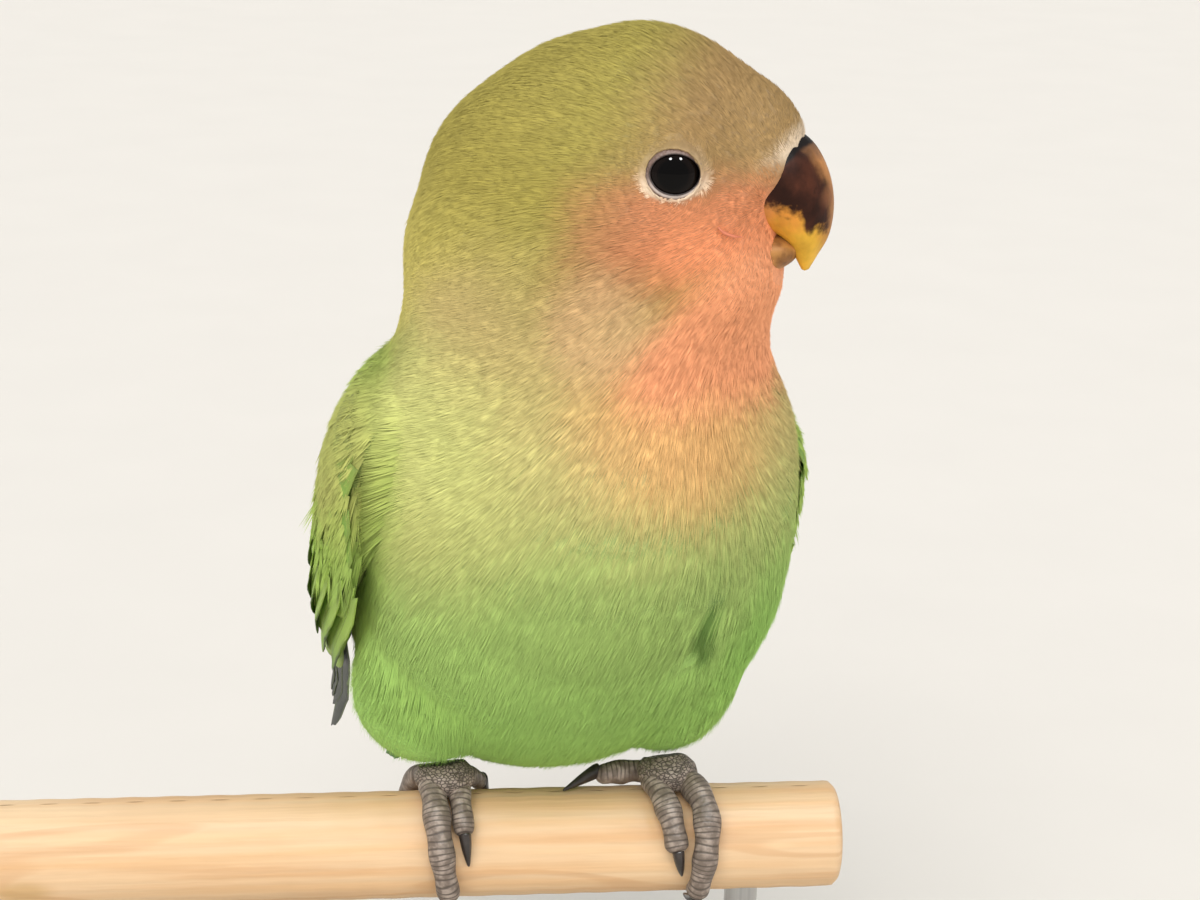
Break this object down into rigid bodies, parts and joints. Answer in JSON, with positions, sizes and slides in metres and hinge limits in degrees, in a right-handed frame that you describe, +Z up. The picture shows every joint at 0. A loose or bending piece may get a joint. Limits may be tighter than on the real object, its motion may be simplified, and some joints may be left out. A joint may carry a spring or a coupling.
{
  "type": "peach-faced lovebird on a perch",
  "caption": "Life-size still model of a young peach-faced lovebird, looking to its left, perched on a short cut dowel that a plain display stand holds up.",
  "frame": {"origin": "centre of the stand base's underside", "axes": "+X along the dowel towards the bird's left foot, -Y the way the bird's breast faces (it is turned about 10 degrees towards +X), +Z up from the underside of the base"},
  "size_m": [0.112, 0.1007, 0.1415],
  "materials": {
    "plumage_green": "soft fresh-green body feathers",
    "plumage_head": "short olive feathers, pinkish on the forehead and peach on the face",
    "plumage_neck": "short feathers, salmon-orange on the throat and olive on the nape",
    "plumage_wing": "green wing feathers with dark flight feathers",
    "plumage_tail": "green tail feathers barred with orange, black and blue, under a blue rump",
    "eye": "glossy near-black eye",
    "bill_horn": "smooth horn, dark brown with a yellow cutting edge",
    "foot_skin": "grey-brown scaly skin with paler cross bands",
    "claw_horn": "black horn",
    "perch_wood": "pale bare dowel with fine grain along it",
    "stand_paint": "matt warm-grey powder coat",
    "rod_steel": "satin"
  },
  "bodies": {
    "root": {"head": "plumage_head", "neck": "plumage_neck", "torso": "plumage_green", "thigh_right": "plumage_green", "thigh_left": "plumage_green", "wing_right": "plumage_wing", "wing_left": "plumage_wing", "tail": "plumage_tail", "eye_right": "eye", "eye_left": "eye", "bill_upper": "bill_horn", "bill_lower": "bill_horn", "perch": "perch_wood", "stand_base": "stand_paint", "stand_rod_right": "rod_steel", "stand_rod_left": "rod_steel", "leg_right": "foot_skin", "leg_left": "foot_skin", "toe_right_outer_front": "foot_skin", "claw_right_outer_front": "claw_horn", "toe_right_inner_front": "foot_skin", "claw_right_inner_front": "claw_horn", "toe_right_inner_back": "foot_skin", "claw_right_inner_back": "claw_horn", "toe_right_outer_back": "foot_skin", "claw_right_outer_back": "claw_horn", "toe_left_outer_front": "foot_skin", "claw_left_outer_front": "claw_horn", "toe_left_inner_front": "foot_skin", "claw_left_inner_front": "claw_horn", "toe_left_inner_back": "foot_skin", "claw_left_inner_back": "claw_horn", "toe_left_outer_back": "foot_skin", "claw_left_outer_back": "claw_horn"}
  },
  "joints": []
}
